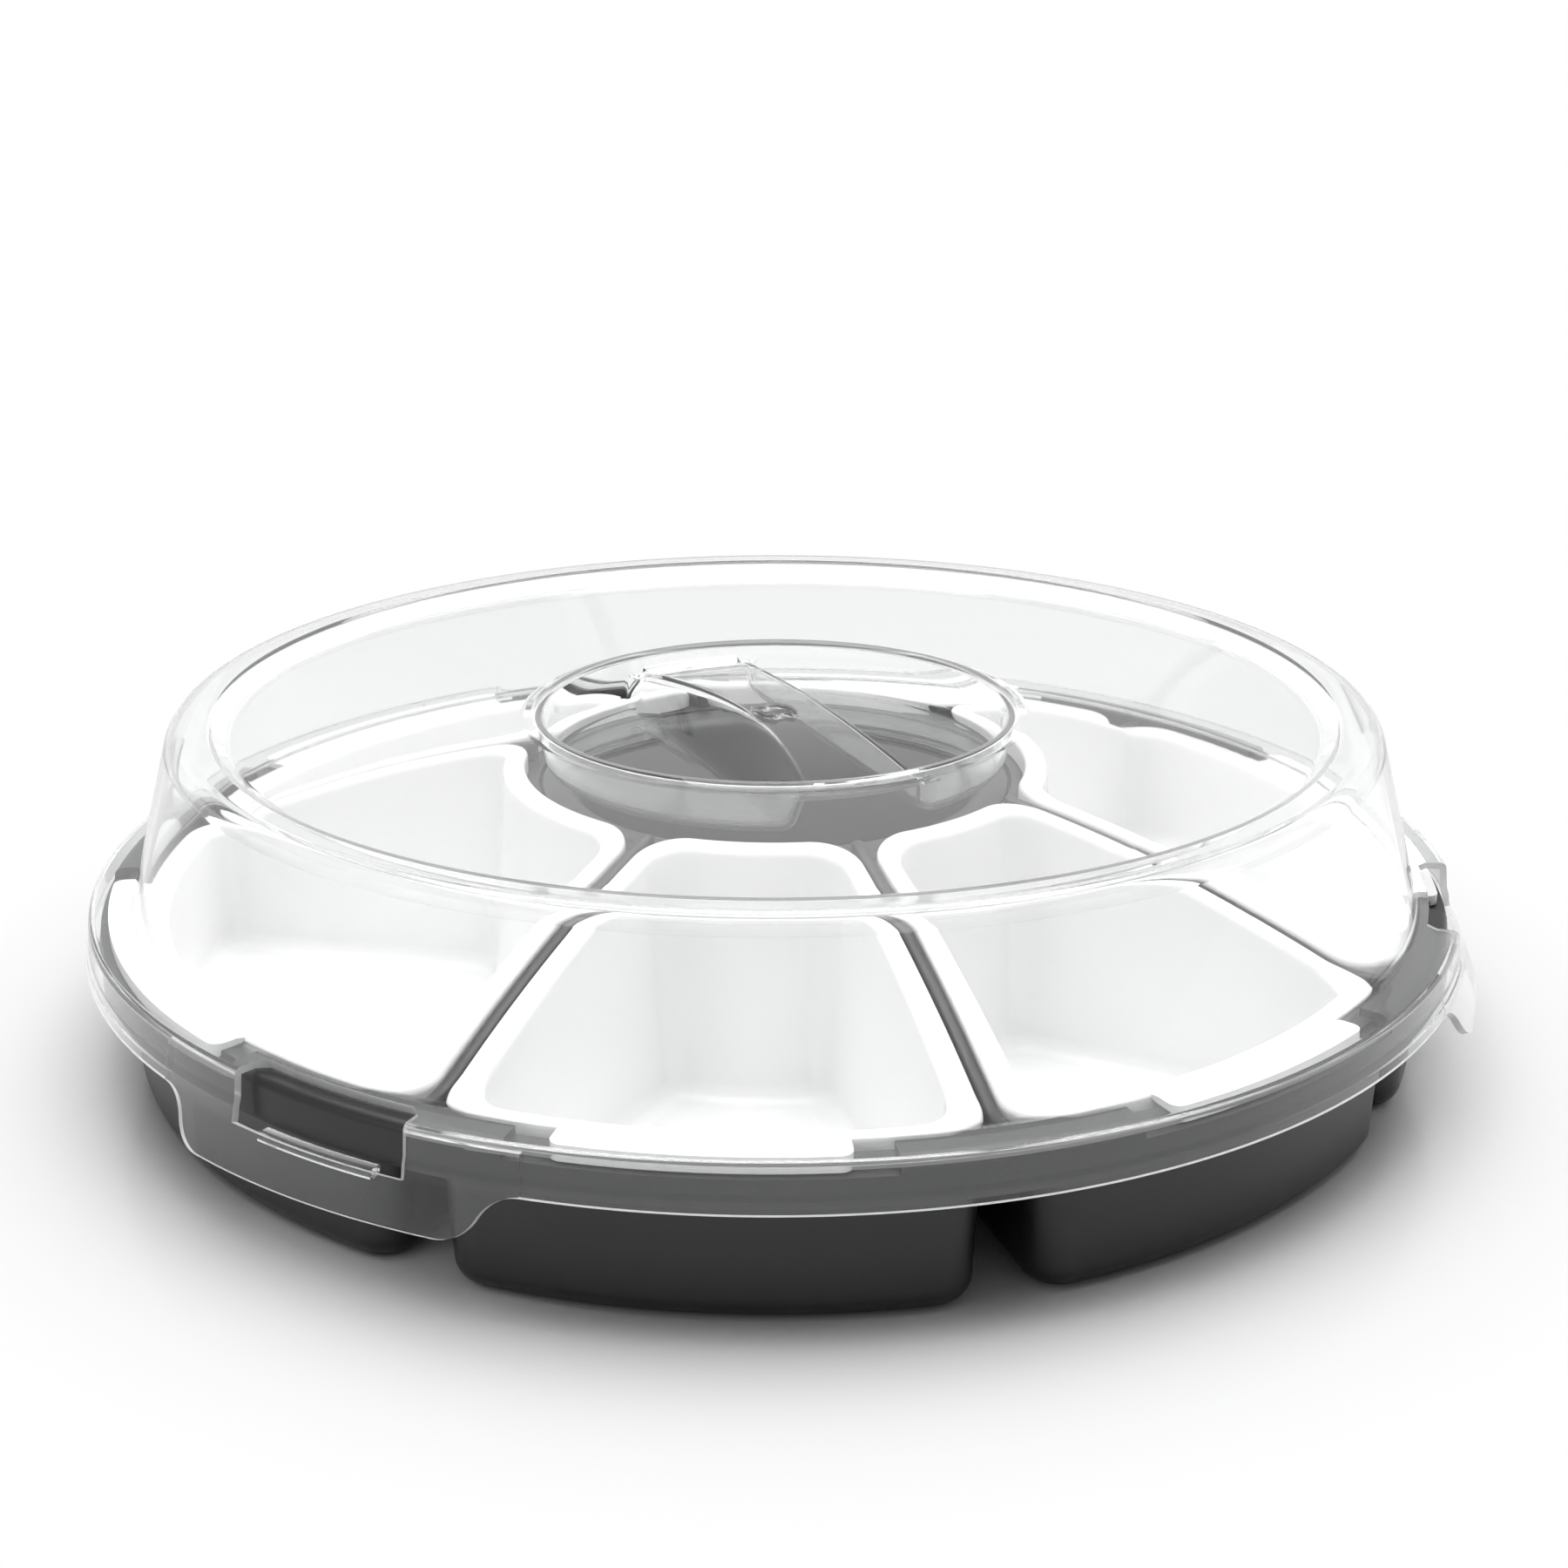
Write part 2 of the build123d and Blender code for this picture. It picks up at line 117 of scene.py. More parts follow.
# Table: its paint turns into plain white light between two distances from its middle, for
# rays from the camera, off gloss and through clear plastic, and stays paint for the rest
table_material, tree, out = new_material("gloss_white_table")
paint = tree.nodes.new("ShaderNodeBsdfPrincipled")
paint.inputs["Base Color"].default_value = (0.86, 0.86, 0.87, 1)
paint.inputs["Roughness"].default_value = 0.16
paint.inputs["Specular IOR Level"].default_value = 0.35
glow = tree.nodes.new("ShaderNodeEmission")
position = tree.nodes.new("ShaderNodeTexCoord")
away = tree.nodes.new("ShaderNodeVectorMath")
away.operation = "LENGTH"
tree.links.new(position.outputs["Object"], away.inputs[0])
burnt_out = tree.nodes.new("ShaderNodeMapRange")
burnt_out.interpolation_type = "SMOOTHSTEP"
burnt_out.inputs["From Min"].default_value = 0.165
burnt_out.inputs["From Max"].default_value = 0.25
tree.links.new(away.outputs["Value"], burnt_out.inputs["Value"])
lifted = mixed(tree, burnt_out.outputs[0], paint.outputs[0], glow.outputs[0])
ray = tree.nodes.new("ShaderNodeLightPath")
seen = larger(tree, ray.outputs["Is Camera Ray"], ray.outputs["Is Glossy Ray"])
seen = larger(tree, seen, ray.outputs["Is Transmission Ray"])
surface = mixed(tree, seen, paint.outputs[0], lifted)
tree.links.new(surface, out.inputs["Surface"])

table_reach, table_level = 4.0, -0.0002
table_x, table_y = np.meshgrid([-table_reach, table_reach], [-table_reach, table_reach])
corners = np.stack([table_x, table_y, np.full_like(table_x, table_level)], axis=-1)
table = bpy.data.meshes.new("table_top")
table.from_pydata(corners.reshape(-1, 3).tolist(), [], [(0, 1, 3, 2)])
table.materials.append(table_material)
table = bpy.data.objects.new("table_top", table)
scene.collection.objects.link(table)
table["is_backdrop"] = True

lamp_target = np.array([0.0, 0.0, 0.05])
for name, location, size, power in (
    ("lamp_overhead", (0.05, 0.15, 1.3), 1.3, 20.0),
    ("lamp_left", (-1.5, -0.5, 0.8), 0.9, 1.5),
    ("lamp_right", (1.5, -0.2, 0.9), 0.9, 1.5),
):
    lamp = bpy.data.lights.new(name, "AREA")
    lamp.size = size
    lamp.energy = power
    holder = bpy.data.objects.new(name, lamp)
    holder.location = location
    aim = lamp_target - np.array(location)
    tilt = math.atan2(math.hypot(aim[0], aim[1]), -aim[2])
    holder.rotation_euler = (tilt, 0.0, math.atan2(-aim[0], aim[1]))
    scene.collection.objects.link(holder)


# Base, bowl and trays: the base is one charcoal moulding with its wells hung in a domed deck,
# the bowl is charcoal too, and six white trays drop into the wells. All have a satin skin that
# is very slightly pebbled. They are the CAD's own shapes.
def moulded_plastic(name, colour, roughness, grain):
    """Opaque moulded plastic: even colour, a fine noise for the pebble of its skin, and a
    coarse noise that moves its roughness by 15 per cent either way."""
    material, tree, out = new_material(name)
    skin = tree.nodes.new("ShaderNodeBsdfPrincipled")
    skin.inputs["Base Color"].default_value = (*colour, 1)
    position = tree.nodes.new("ShaderNodeTexCoord")
    pebble = tree.nodes.new("ShaderNodeTexNoise")
    pebble.inputs["Scale"].default_value = 900.0
    pebble.inputs["Detail"].default_value = 3.0
    tree.links.new(position.outputs["Object"], pebble.inputs["Vector"])
    bump = tree.nodes.new("ShaderNodeBump")
    bump.inputs["Strength"].default_value = grain
    bump.inputs["Distance"].default_value = 0.0002
    tree.links.new(pebble.outputs[0], bump.inputs["Height"])
    tree.links.new(bump.outputs[0], skin.inputs["Normal"])
    flow = tree.nodes.new("ShaderNodeTexNoise")
    flow.inputs["Scale"].default_value = 22.0
    flow.inputs["Detail"].default_value = 2.0
    tree.links.new(position.outputs["Object"], flow.inputs["Vector"])
    gloss = tree.nodes.new("ShaderNodeMapRange")
    gloss.inputs["To Min"].default_value = roughness * 0.85
    gloss.inputs["To Max"].default_value = roughness * 1.15
    tree.links.new(flow.outputs[0], gloss.inputs["Value"])
    tree.links.new(gloss.outputs[0], skin.inputs["Roughness"])
    tree.links.new(skin.outputs[0], out.inputs["Surface"])
    return material


charcoal = moulded_plastic("charcoal_polypropylene", (0.013, 0.013, 0.014), 0.36, 0.02)
white = moulded_plastic("white_polypropylene", (0.82, 0.82, 0.82), 0.22, 0.01)

for node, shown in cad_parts.items():
    if node.startswith(("lid_", "latch_")):
        continue
    material = charcoal if node.startswith(("base_", "dip_")) else white
    for material_slot in shown.material_slots:
        material_slot.material = material
    shown.data.polygons.foreach_set("use_smooth", [True] * len(shown.data.polygons))
    joined = shown.modifiers.new("joined", "WELD")
    joined.merge_threshold = 1e-6
    creased = shown.modifiers.new("creased", "EDGE_SPLIT")
    creased.split_angle = math.radians(32)

# Divider ribs: the base's deck rises between two trays' lips to just under their level, so
# each gap shows charcoal. Six straight ribs with a rounded top follow the deck's dome.
mm = 0.001
rib_azimuths = (0, 45, 120, 180, 240, 315)
rib_start, rib_end = 66.9, 168.6
rib_across = np.array([-1.55, -1.55, -1.2, -0.6, 0.0, 0.6, 1.2, 1.55, 1.55])
rib_under_dome = np.array([6.8, 1.9, 1.45, 1.25, 1.2, 1.25, 1.45, 1.9, 6.8])
dome_radius, dome_centre = 361.0, -284.05
rim_level, rim_easing = 41.5, 0.8


def vertex_grid(surface, first=0):
    """Numbers of a surface's vertices, row after row, counted on from the first number."""
    return np.arange(surface[..., 0].size).reshape(surface.shape[:2]) + first


def strip_faces(grid, closed=False):
    """Quads of a grid of vertex numbers, wrapped round its second axis when closed."""
    side = np.roll(grid, -1, axis=1) if closed else grid[:, 1:]
    own = grid if closed else grid[:, :-1]
    return np.stack([own[:-1], side[:-1], side[1:], own[1:]], axis=-1)


# Height along a rib: the dome's sphere, eased into the rim's level by the logarithm of one
# plus the exponential of the height above the rim
along = np.linspace(rib_start, rib_end, 90)
level = dome_centre + np.sqrt(dome_radius**2 - along**2)
level = rim_level + rim_easing * np.log1p(np.exp((level - rim_level) / rim_easing))
rib_points, rib_faces = [], []
for azimuth in np.radians(rib_azimuths):
    out_x, out_y = np.sin(azimuth), -np.cos(azimuth)
    rib = np.stack([along[:, None] * out_x - rib_across * out_y,
                    along[:, None] * out_y + rib_across * out_x,
                    level[:, None] - rib_under_dome], -1)
    grid = vertex_grid(rib, sum(len(points) for points in rib_points))
    rib_faces += strip_faces(grid, closed=True)[..., [0, 3, 2, 1]].reshape(-1, 4).tolist()
    rib_faces += [grid[0].tolist(), grid[-1][::-1].tolist()]
    rib_points.append(rib.reshape(-1, 3))
ribs = bpy.data.meshes.new("divider_ribs")
ribs.from_pydata((np.concatenate(rib_points) * mm).tolist(), [], rib_faces)
ribs.materials.append(charcoal)
ribs.polygons.foreach_set("use_smooth", [len(face.vertices) == 4 for face in ribs.polygons])
ribs = bpy.data.objects.new("divider_ribs", ribs)
scene.collection.objects.link(ribs)
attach(ribs, "base")

# Lid: one clear moulding about 1.8 mm thick, a dome with a raised shoulder, a flat edge over
# the base's rim and a skirt that turns down round it. The grip is moulded in: two pockets
# either side of a bar that is hollow from below. The edge is cut away in three windows.
lid_turn, lid_wall = 5.7, 1.8
recess_top, recess_rim, recess_draft = 85.8, 62.0, 9.0
pocket_floor, pocket_corner, pocket_rounding = 71.6, 2.4, 1.9
bar_end, bar_crown, bar_edge, bar_easing = 80.2, 83.6, 1.9, 5
thumb_waist, thumb_draft, straight_bow = 15.6, 4.0, 1e4
finger_foot, finger_height = 69.8, 16.0
finger_foot_width, finger_top_end, finger_top_waist = 19.8, 17.0, 6.5
gate_radius, gate_breadth, gate_half_height = 4.6, 1.3, 0.25
deck_level, shoulder_level = 84.6, 88.6
flange_level, flange_edge, seam_height = 43.6, 180.2, 41.8
skirt_radius, skirt_foot, skirt_lean, skirt_lean_height = 181.9, 32.2, 0.7, 7.0
skirt_bends = [(180.9, 36.6), (181.55, 34.6), (skirt_radius, skirt_foot)]
dome_foot, skirt_start, seam_tolerance = 44, 180, 0.1
latch_azimuths = (-56.5, 56.5, 180.0)
latch_half_angle, window_half_angle = 16.5, 7.8
window_radius, window_chamfer = 172.2, 2.5


def clear_plastic(name, roughness, through):
    """Clear plastic that lamps shine through; the part that isn't clear is white haze, and in
    the bend materials that white is a painted highlight.
    """
    material, tree, out = new_material(name)
    sheet = tree.nodes.new("ShaderNodeBsdfPrincipled")
    sheet.inputs["Base Color"].default_value = (0.97, 0.975, 0.975, 1)
    sheet.inputs["Roughness"].default_value = roughness
    sheet.inputs["IOR"].default_value = 1.38
    sheet.inputs["Transmission Weight"].default_value = through
    lamp_way = tree.nodes.new("ShaderNodeBsdfTransparent")
    lamp_way.inputs["Color"].default_value = (0.93, 0.93, 0.93, 1)
    ray = tree.nodes.new("ShaderNodeLightPath")
    surface = mixed(tree, ray.outputs["Is Shadow Ray"], sheet.outputs[0], lamp_way.outputs[0])
    tree.links.new(surface, out.inputs["Surface"])
    return material


clear = clear_plastic("clear_polystyrene", 0.015, 0.985)
cut_edge = clear_plastic("clear_polystyrene_edge", 0.25, 0.3)
# The two bend materials are less clear, so their white is a painted highlight where the sheet
# bends
near_bend = clear_plastic("clear_polystyrene_painted_highlight_near_bend", 0.015, 0.86)
bend = clear_plastic("clear_polystyrene_painted_highlight_bend", 0.015, 0.68)

# Rings where the sheet bends and is whitened as a painted highlight: radius, breadth, lowest
# height and amount
bend_highlight_rings = ((62.8, 1.6, 83.0, 1.0), (145.0, 2.4, 82.0, 0.6), (157.4, 2.0, 82.0, 0.4),
              (flange_edge, 0.9, 41.0, 0.6))
# Painted highlight: faces whose sum passes these levels take the whiter bend materials
near_bend_highlight_level, bend_highlight_level = 0.18, 0.5


def add_wall(work, wall):
    """Inner side of a sheet: each vertex less its normal times the wall, the faces repeated
    the other way round, and quads from rim to rim. Those are cut edge, except on the seams
    between the lid and its tabs, where the real sheet runs on."""
    work.normal_update()
    rims = [edge.link_loops[0] for edge in work.edges if len(edge.link_loops) == 1]
    rims = [(loop.link_loop_next.vert, loop.vert) for loop in rims]
    inner = {v: work.verts.new(v.co - v.normal * wall * mm) for v in list(work.verts)}
    for face in list(work.faces):
        work.faces.new([inner[v] for v in reversed(face.verts)])
    for a, b in rims:
        side = work.faces.new((a, b, inner[b], inner[a]))
        middle = (a.co + b.co) / (2 * mm)
        turned = math.degrees(math.atan2(middle.x, -middle.y)) - lid_turn
        offset = min(abs((turned - own + 180) % 360 - 180) for own in latch_azimuths)
        on_seam = abs(middle.z - seam_height) < seam_tolerance or (
            middle.z < seam_height and abs(offset - latch_half_angle) < seam_tolerance)
        side.material_index = 0 if on_seam else 1


def add_bend_highlights(mesh):
    """Whiter, less clear materials where a sheet bends, as a painted highlight: a face's
    highlight is the sum over the rings of the ring's amount times a bell curve of the distance
    from it."""
    for plastic in (cut_edge, near_bend, bend):
        mesh.materials.append(plastic)
    middle = np.array([face.center for face in mesh.polygons]) / mm
    radius, z = np.hypot(middle[:, 0], middle[:, 1]), middle[:, 2]
    bend_highlight = np.zeros(len(z))
    for ring_radius, breadth, lowest, amount in bend_highlight_rings:
        bend_highlight += amount * (z > lowest) * np.exp(-((radius - ring_radius) / breadth) ** 2)
    kind = np.array([face.material_index for face in mesh.polygons])
    kind = np.where(kind == 0, 2 * (bend_highlight > near_bend_highlight_level) + (bend_highlight > bend_highlight_level), kind)
    mesh.polygons.foreach_set("material_index", kind)


def add_piece(name, points, faces, material, node, body, wall=0.0):
    """A piece in place of a CAD node: its vertices in millimetres, equal points joined,
    smooth shading, and for a sheet its wall, added inwards at an even thickness."""
    mesh = bpy.data.meshes.new(name)
    mesh.from_pydata((points * mm).tolist(), [], faces)
    work = bmesh.new()
    work.from_mesh(mesh)
    bmesh.ops.remove_doubles(work, verts=work.verts, dist=4e-6)
    bmesh.ops.dissolve_degenerate(work, edges=work.edges, dist=1e-6)
    bmesh.ops.delete(work, geom=[v for v in work.verts if not v.link_faces], context="VERTS")
    if wall:
        add_wall(work, wall)
    work.to_mesh(mesh)
    work.free()
    mesh.materials.append(material)
    if wall:
        add_bend_highlights(mesh)
    mesh.polygons.foreach_set("use_smooth", [True] * len(mesh.polygons))
    piece = bpy.data.objects.new(name, mesh)
    scene.collection.objects.link(piece)
    creased = piece.modifiers.new("creased", "EDGE_SPLIT")
    creased.split_angle = math.radians(30)
    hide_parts(node)
    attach(piece, body)


def rounded_path(points, radii, steps):
    """Polyline whose corners are arcs: each arc runs between the two points that lie a
    tangent length, radius times the tangent of half the turn, from the corner."""
    points = np.asarray(points, float)
    path = [points[:1]]
    for before, corner, after, radius in zip(points, points[1:], points[2:], radii):
        back = (before - corner) / np.linalg.norm(before - corner)
        on = (after - corner) / np.linalg.norm(after - corner)
        half = np.arccos(np.clip(back @ on, -1, 1)) / 2
        middle = (back + on) / np.linalg.norm(back + on)
        centre = corner + middle * radius / np.sin(half)
        start = corner + back * radius / np.tan(half) - centre
        swung = np.array([-start[1], start[0]])
        way = -np.sign(swung @ back)
        angle = (np.linspace(0, np.pi - 2 * half, steps + 1) * way)[:, None]
        path.append(centre + start * np.cos(angle) + swung * np.sin(angle))
    path.append(points[-1:])
    return np.concatenate(path)


def divided(path, longest):
    """The same path with points added, so that no step along it is over the longest."""
    pieces = [path[:1]]
    for a, b in zip(path, path[1:]):
        count = max(1, int(np.ceil(np.linalg.norm(b - a) / longest)))
        pieces.append(a + (b - a) * (np.arange(1, count + 1) / count)[:, None])
    return np.concatenate(pieces)


def around(angles):
    """Points of the unit circle: the cosine and the sine of each angle."""
    return np.stack([np.cos(angles), np.sin(angles)], -1)


def pocket_loop(radius, waist, bow, inset, fractions, side_steps=60, corner_steps=10):
    """Closed outline of a pocket that opens towards +X: the arc of the recess wall, then a
    corner arc, the side of the bar, which is an arc of radius bow, and a corner arc. A
    corner's centre is where circles about the other two arcs' centres cross."""
    centre = waist + bow
    radius, bow, corner = radius - inset, bow - inset, pocket_corner - inset
    x = ((radius - corner) ** 2 - (bow - corner) ** 2 + centre**2) / (2 * centre)
    y = np.sqrt((radius - corner) ** 2 - x**2)
    wall_end, side_end = np.arctan2(y, x), np.arctan2(y, x - centre)
    wall = -wall_end + 2 * wall_end * fractions
    first = wall_end + (side_end - wall_end) * np.arange(1, corner_steps + 1) / corner_steps
    side = side_end + (2 * np.pi - 2 * side_end) * np.arange(1, side_steps + 1) / side_steps
    last = -first[::-1][1:]
    return np.concatenate([
        radius * around(wall), (x, y) + corner * around(first),
        (centre, 0) + bow * around(side), (x, -y) + corner * around(last),
    ])


def cone_radius(z):
    """Radius of the recess wall: its rim's, less the depth times the tangent of its draft."""
    return recess_rim - (recess_top - z) * np.tan(np.radians(recess_draft))


def bar_side(z, fingers):
    """Waist and bow radius of the bar's side at a height. The thumb side is all but straight
    and drafted. The finger side is the arc through the waist and both ends: its radius is the
    square of half the bar's length plus the square of the rise, over twice the rise."""
    if not fingers:
        return thumb_waist + (recess_top - z) * np.tan(np.radians(thumb_draft)), straight_bow
    share = (z - finger_foot) / finger_height
    end = finger_foot_width + share * (finger_top_end - finger_foot_width)
    waist = finger_foot_width + share * (finger_top_waist - finger_foot_width)
    rise = end - waist
    return waist, (recess_rim**2 + rise**2) / (2 * rise)


def bar_top(points):
    """Height of the bar's crowned top: a parabola along the bar, eased into the recess wall
    by a smooth step over its last 5 mm."""
    arch = bar_crown - (bar_crown - bar_end) * (points[:, 1] / recess_rim) ** 2
    ease = (cone_radius(bar_end) - np.hypot(points[:, 0], points[:, 1])) / bar_easing
    ease = np.clip(ease, 0, 1)
    return bar_end + (arch - bar_end) * ease * ease * (3 - 2 * ease)


def wall_end_angle(fingers):
    """Angle from the middle of a pocket to the end of its wall arc, at the bar's ends."""
    waist, bow = bar_side(bar_end, fingers)
    loop = pocket_loop(cone_radius(bar_end), waist, bow, 0, np.array([1.0]))
    return np.arctan2(loop[0, 1], loop[0, 0])


# Columns round the lid, anticlockwise from the start of the thumb pocket's wall: those of
# the thumb pocket, a bar end, the finger pocket and the other bar end. The nearest ones are
# moved onto the sides of the tabs and windows and the ends of the windows' chamfers.
thumb_end, finger_end = wall_end_angle(False), wall_end_angle(True)
ends = np.array([-thumb_end, thumb_end, np.pi - finger_end, np.pi + finger_end,
                 2 * np.pi - thumb_end])
pocket_columns, end_columns = 134, 46
counts = (pocket_columns, end_columns, pocket_columns, end_columns)
columns = np.concatenate([
    a + (b - a) * np.arange(n) / n for a, b, n in zip(ends, ends[1:], counts)])
corner_angle = np.degrees(window_chamfer / window_radius)
for azimuth in latch_azimuths:
    for offset in (latch_half_angle, window_half_angle, window_half_angle - corner_angle):
        for sign in (-1, 1):
            wanted = np.radians(azimuth + sign * offset - 90)
            gap = np.angle(np.exp(1j * (columns - wanted)))
            nearest = np.argmin(np.abs(gap))
            columns[nearest] -= gap[nearest]
all_round = np.append(columns, columns[0] + 2 * np.pi)

# Profile of the lid's outer side, from the bar's ends over the shoulder to the skirt's foot,
# with points added at the windows' inner edges, at the ends of their chamfers and on the
# tabs' seam. What is lower than dome_foot is flange or skirt, and what is further out than
# skirt_start is skirt.
profile = rounded_path(
    [(cone_radius(bar_end), bar_end), (62.15, 86.3), (64.6, 85.4), (67.0, deck_level),
     (142.2, deck_level), (146.6, shoulder_level), (157.3, shoulder_level),
     (169.3, flange_level), (flange_edge, flange_level), *skirt_bends],
    [1.9, 3.0, 3.0, 3.0, 2.4, 6.0, 1.4, 1.75, 1.2, 1.2], 8)
marks = np.array([(window_radius, flange_level), (window_radius + window_chamfer, flange_level)])
past_marks = int(np.argmax((profile[:, 0] > marks[1, 0]) & (profile[:, 1] < dome_foot)))
profile = np.insert(profile, past_marks, marks, axis=0)
past_seam = int(np.argmax((profile[:, 0] > skirt_start) & (profile[:, 1] < seam_height)))
seam_radius = flange_edge + skirt_lean * (flange_level - seam_height) / skirt_lean_height
profile = np.insert(profile, past_seam, [(seam_radius, seam_height)], axis=0)
profile = divided(profile, 8.0)

# The profile revolved, less the windows and the tabs. Where a window's corner is chamfered,
# half of its quad stays as a triangle.
ring = np.stack([
    profile[:, :1] * np.cos(columns), profile[:, :1] * np.sin(columns),
    np.broadcast_to(profile[:, 1:], (len(profile), len(columns)))], -1)
quads = strip_faces(vertex_grid(ring), closed=True)
to_next = np.angle(np.exp(1j * (np.roll(columns, -1) - columns)))
mid_column = np.degrees(columns + to_next / 2)
row_radius = (profile[:-1, 0] + profile[1:, 0])[:, None] / 2
row_height = (profile[:-1, 1] + profile[1:, 1])[:, None] / 2
keep = np.ones(quads.shape[:2], bool)
chamfer_faces = []
for azimuth in latch_azimuths:
    offset = (mid_column - (azimuth - 90) + 180) % 360 - 180
    keep &= ~((np.abs(offset) < latch_half_angle) & (row_radius > skirt_start)
              & (row_height < seam_height))
    gone = (np.abs(offset) < window_half_angle) & (row_radius > window_radius)
    gone &= row_height < dome_foot
    keep &= ~gone
    corner = gone & (row_radius < window_radius + window_chamfer)
    corner &= np.abs(offset) > window_half_angle - corner_angle
    for row, column in zip(*np.nonzero(corner)):
        a, b, c, d = quads[row, column].tolist()
        chamfer_faces.append((d, b, a) if offset[column] < 0 else (c, b, a))
lid_points = [ring.reshape(-1, 3)]
lid_faces = quads[keep][:, ::-1].tolist() + chamfer_faces
total = ring[..., 0].size

# Levels down a pocket's wall, each with four values: the share of the straight wall that is
# below it, its drop under the top or rise over the floor on a rounding, its shift towards the
# bar on the top rounding, and its inset on the floor's rounding
pocket_levels = [(1, bar_edge * (1 - np.cos(roll)), -bar_edge * (1 - np.sin(roll)), 0)
                 for roll in np.radians([0, 22.5, 45, 67.5, 90])]
pocket_levels += [(share, 0, 0, 0) for share in (0.75, 0.5, 0.25)]
pocket_levels += [(0, pocket_rounding * (1 - np.sin(roll)), 0,
                   pocket_rounding * (1 - np.cos(roll)))
                  for roll in np.radians(np.linspace(0, 90, 9))]
wall_foot = pocket_floor + pocket_rounding
edge_fade = 12
pocket_tops = {}
for fingers, start in ((False, 0), (True, pocket_columns + end_columns)):
    own = all_round[start:start + pocket_columns + 1]
    middle = np.pi if fingers else 0.0
    half = finger_end if fingers else thumb_end
    fractions = (own - middle + half) / (2 * half)
    rows = []
    for share, drop, shift, inset in pocket_levels:
        high = pocket_loop(cone_radius(bar_end), *bar_side(bar_end, fingers), inset, fractions)
        low = pocket_loop(cone_radius(pocket_floor), *bar_side(pocket_floor, fingers), inset,
                          fractions)
        summit = bar_top(high)
        if share == 1:
            z = summit - drop
        elif share:
            z = wall_foot + share * (summit - bar_edge - wall_foot)
        else:
            z = np.full(len(summit), pocket_floor + drop)
        on_side = np.clip((summit - bar_end) / (bar_crown - bar_end) * edge_fade, 0, 1)
        outline = high + (low - high) * ((bar_end - z) / (bar_end - pocket_floor))[:, None]
        away = np.roll(outline, -1, axis=0) - np.roll(outline, 1, axis=0)
        away = np.stack([-away[:, 1], away[:, 0]], -1)
        away /= np.linalg.norm(away, axis=1)[:, None]
        outline = outline + away * (shift * on_side)[:, None]
        rows.append(np.column_stack([outline, z]))
    floor = rows[-1]
    heart = np.array([floor[:, 0].mean(), 0.0, pocket_floor])
    for share in (0.8, 0.55, 0.3, 0.1):
        rows.append(heart + (floor - heart) * share)
    rows = np.stack(rows)
    if fingers:
        rows[..., :2] *= -1
    rim = len(fractions)
    rows[0, :rim, :2] = around(own) * cone_radius(bar_end)
    pocket_tops[fingers] = np.concatenate([rows[0, rim - 1:], rows[0, :1]])
    grid = vertex_grid(rows, total)
    lid_points.append(rows.reshape(-1, 3))
    lid_faces += strip_faces(grid, closed=True).reshape(-1, 4).tolist()
    lid_faces.append(grid[-1].tolist())
    total += grid.size

# Top of the bar, ruled from one pocket's edge to the other's. Its two ends bulge out to the
# recess wall's arc, and the small ring left by the mould's gate stands in its middle.
share = np.linspace(0, 1, end_columns + 1)[:, None]
thumb_edge, finger_edge = pocket_tops[False], pocket_tops[True][::-1]
bar = thumb_edge[:, None] + (finger_edge - thumb_edge)[:, None] * share
bulge_rows = 14
fade = 0.5 + 0.5 * np.cos(np.pi * np.arange(bulge_rows) / bulge_rows)
for row, angles, rows in (
    (0, columns[pocket_columns:pocket_columns + end_columns + 1], slice(0, bulge_rows)),
    (-1, all_round[-end_columns - 1:][::-1], slice(-1, -bulge_rows - 1, -1)),
):
    bulge = cone_radius(bar_end) * around(angles) - bar[row, :, :2]
    bar[rows, :, :2] += fade[:, None, None] * bulge
inner = bar[1:-1, 1:-1]
inner[..., 2] = bar_top(inner.reshape(-1, 3)[:, :2]).reshape(inner.shape[:2])
from_gate = np.abs(np.hypot(inner[..., 0], inner[..., 1]) - gate_radius)
gate = np.clip(from_gate / gate_breadth, 0, 1)
inner[..., 2] += gate_half_height * (1 + np.cos(np.pi * gate))
bar[[0, -1], :, 2] = bar_end
lid_points.append(bar.reshape(-1, 3))
lid_faces += strip_faces(vertex_grid(bar, total)).reshape(-1, 4).tolist()

turn = np.radians(lid_turn)
turning = np.array([
    [math.cos(turn), math.sin(turn), 0], [-math.sin(turn), math.cos(turn), 0], [0, 0, 1]])
add_piece("clear_lid", np.concatenate(lid_points) @ turning, lid_faces, clear,
          "lid_shell", "lid", lid_wall)

# Pull tabs: three pieces of the lid's skirt that bend outwards where the lid is unsnapped.
# Each is a U of the same sheet with the window between its posts, a snap bar along the
# window's sill that hooks under the rim, and a tongue that flares out for the fingers.
tongue_level, tongue_rise = 21.6, 10.6
tongue_flat, tongue_end = 34.0, 51.65
sill_level, sill_rise, sill_flat_angle, sill_slope_angle = 31.4, 4.4, 9, 7
snap_bar_half_angle = 5.2


def tongue_foot(x):
    """Height of a tab's lower outline: flat for 34 mm, then two equal arcs, one hollow
    and one round, that rise 10.6 mm to the foot of the skirt. An arc's radius is the square
    of its reach plus the square of its rise, over twice its rise."""
    x = np.abs(x)
    reach, rise = (tongue_end - tongue_flat) / 2, tongue_rise / 2
    radius = (reach**2 + rise**2) / (2 * rise)
    hollow = np.sqrt(radius**2 - np.clip(x - tongue_flat, 0, reach) ** 2)
    low = tongue_level + radius - hollow
    high = skirt_foot - radius + np.sqrt(radius**2 - np.clip(tongue_end - x, 0, reach) ** 2)
    return np.where(x < tongue_flat + reach, low, np.maximum(high, low))


